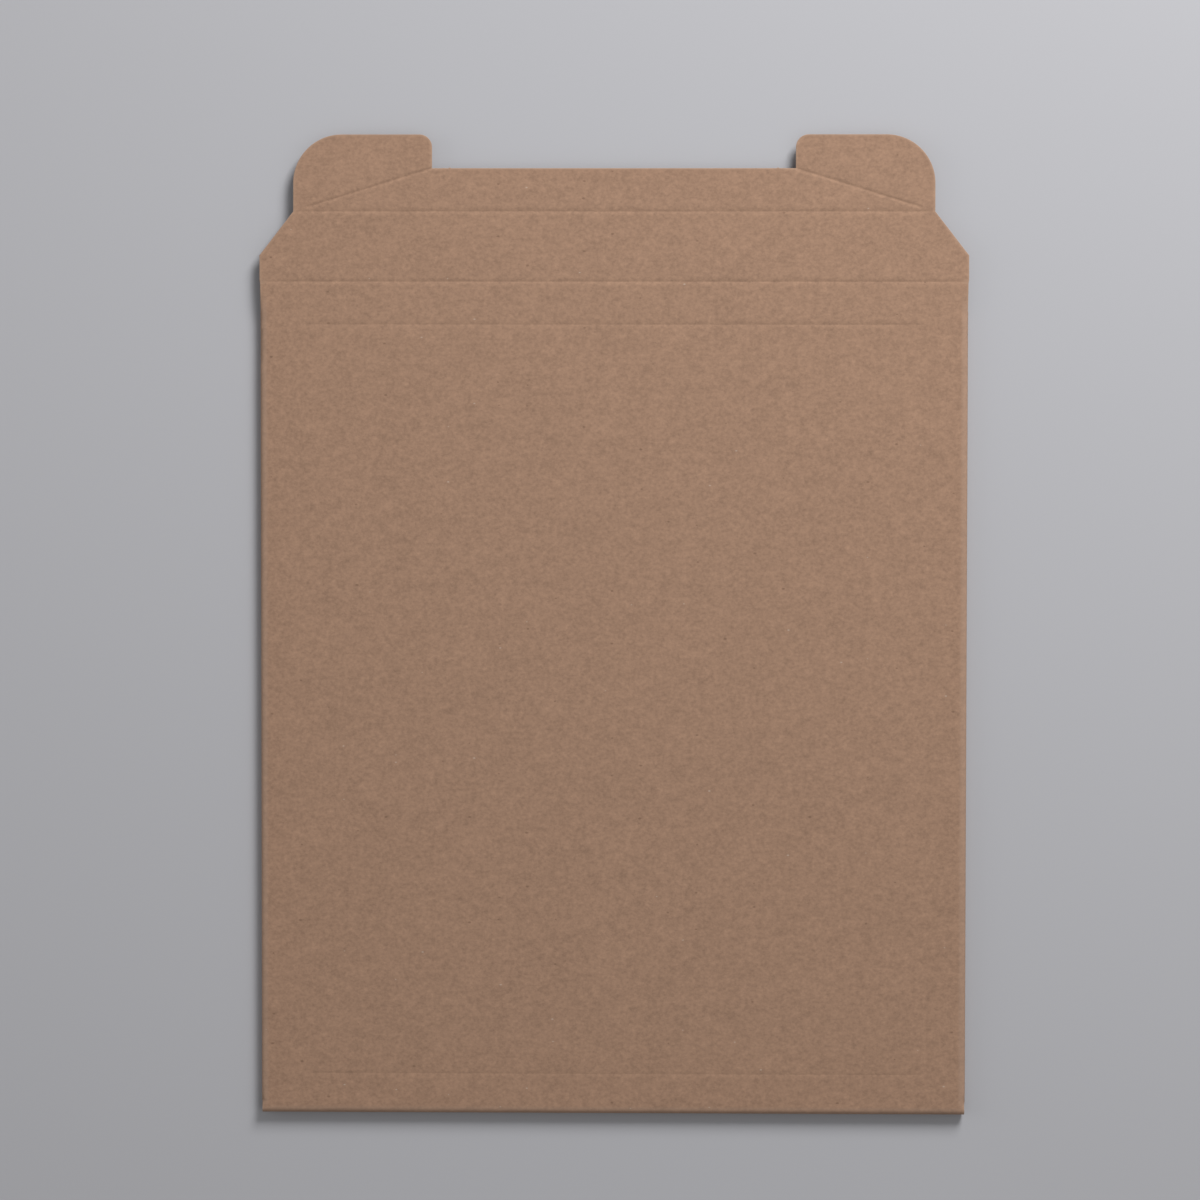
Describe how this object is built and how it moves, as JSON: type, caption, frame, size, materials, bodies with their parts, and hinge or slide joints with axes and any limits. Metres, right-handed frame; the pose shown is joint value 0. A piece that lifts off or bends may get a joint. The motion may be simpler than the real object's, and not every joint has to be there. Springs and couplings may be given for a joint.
{
  "type": "rigid mailer",
  "caption": "Flat rigid mailer of plain kraft board: a glued pocket with a creased closing flap that carries a tuck panel and two locking ears.",
  "frame": {"origin": "under the middle of the whole outline, on the surface that the back panel lies on", "axes": "+Z out of the front panel, +Y from the bottom fold to the closing flap, +X to the right seen from the front"},
  "size_m": [0.3244, 0.4494, 0.006],
  "materials": {
    "kraft_board": "matt uncoated kraft board with fine fibres"
  },
  "bodies": {
    "pocket": {"pocket": "kraft_board"},
    "closing_flap": {"closing_flap": "kraft_board"}
  },
  "joints": [
    {"name": "closing_flap_fold", "type": "hinge", "parent": "pocket", "child": "closing_flap", "pos_m": [0, 0.1576, 0.0053], "axis": [-1, 0, 0], "range_deg": [0, 170]}
  ]
}
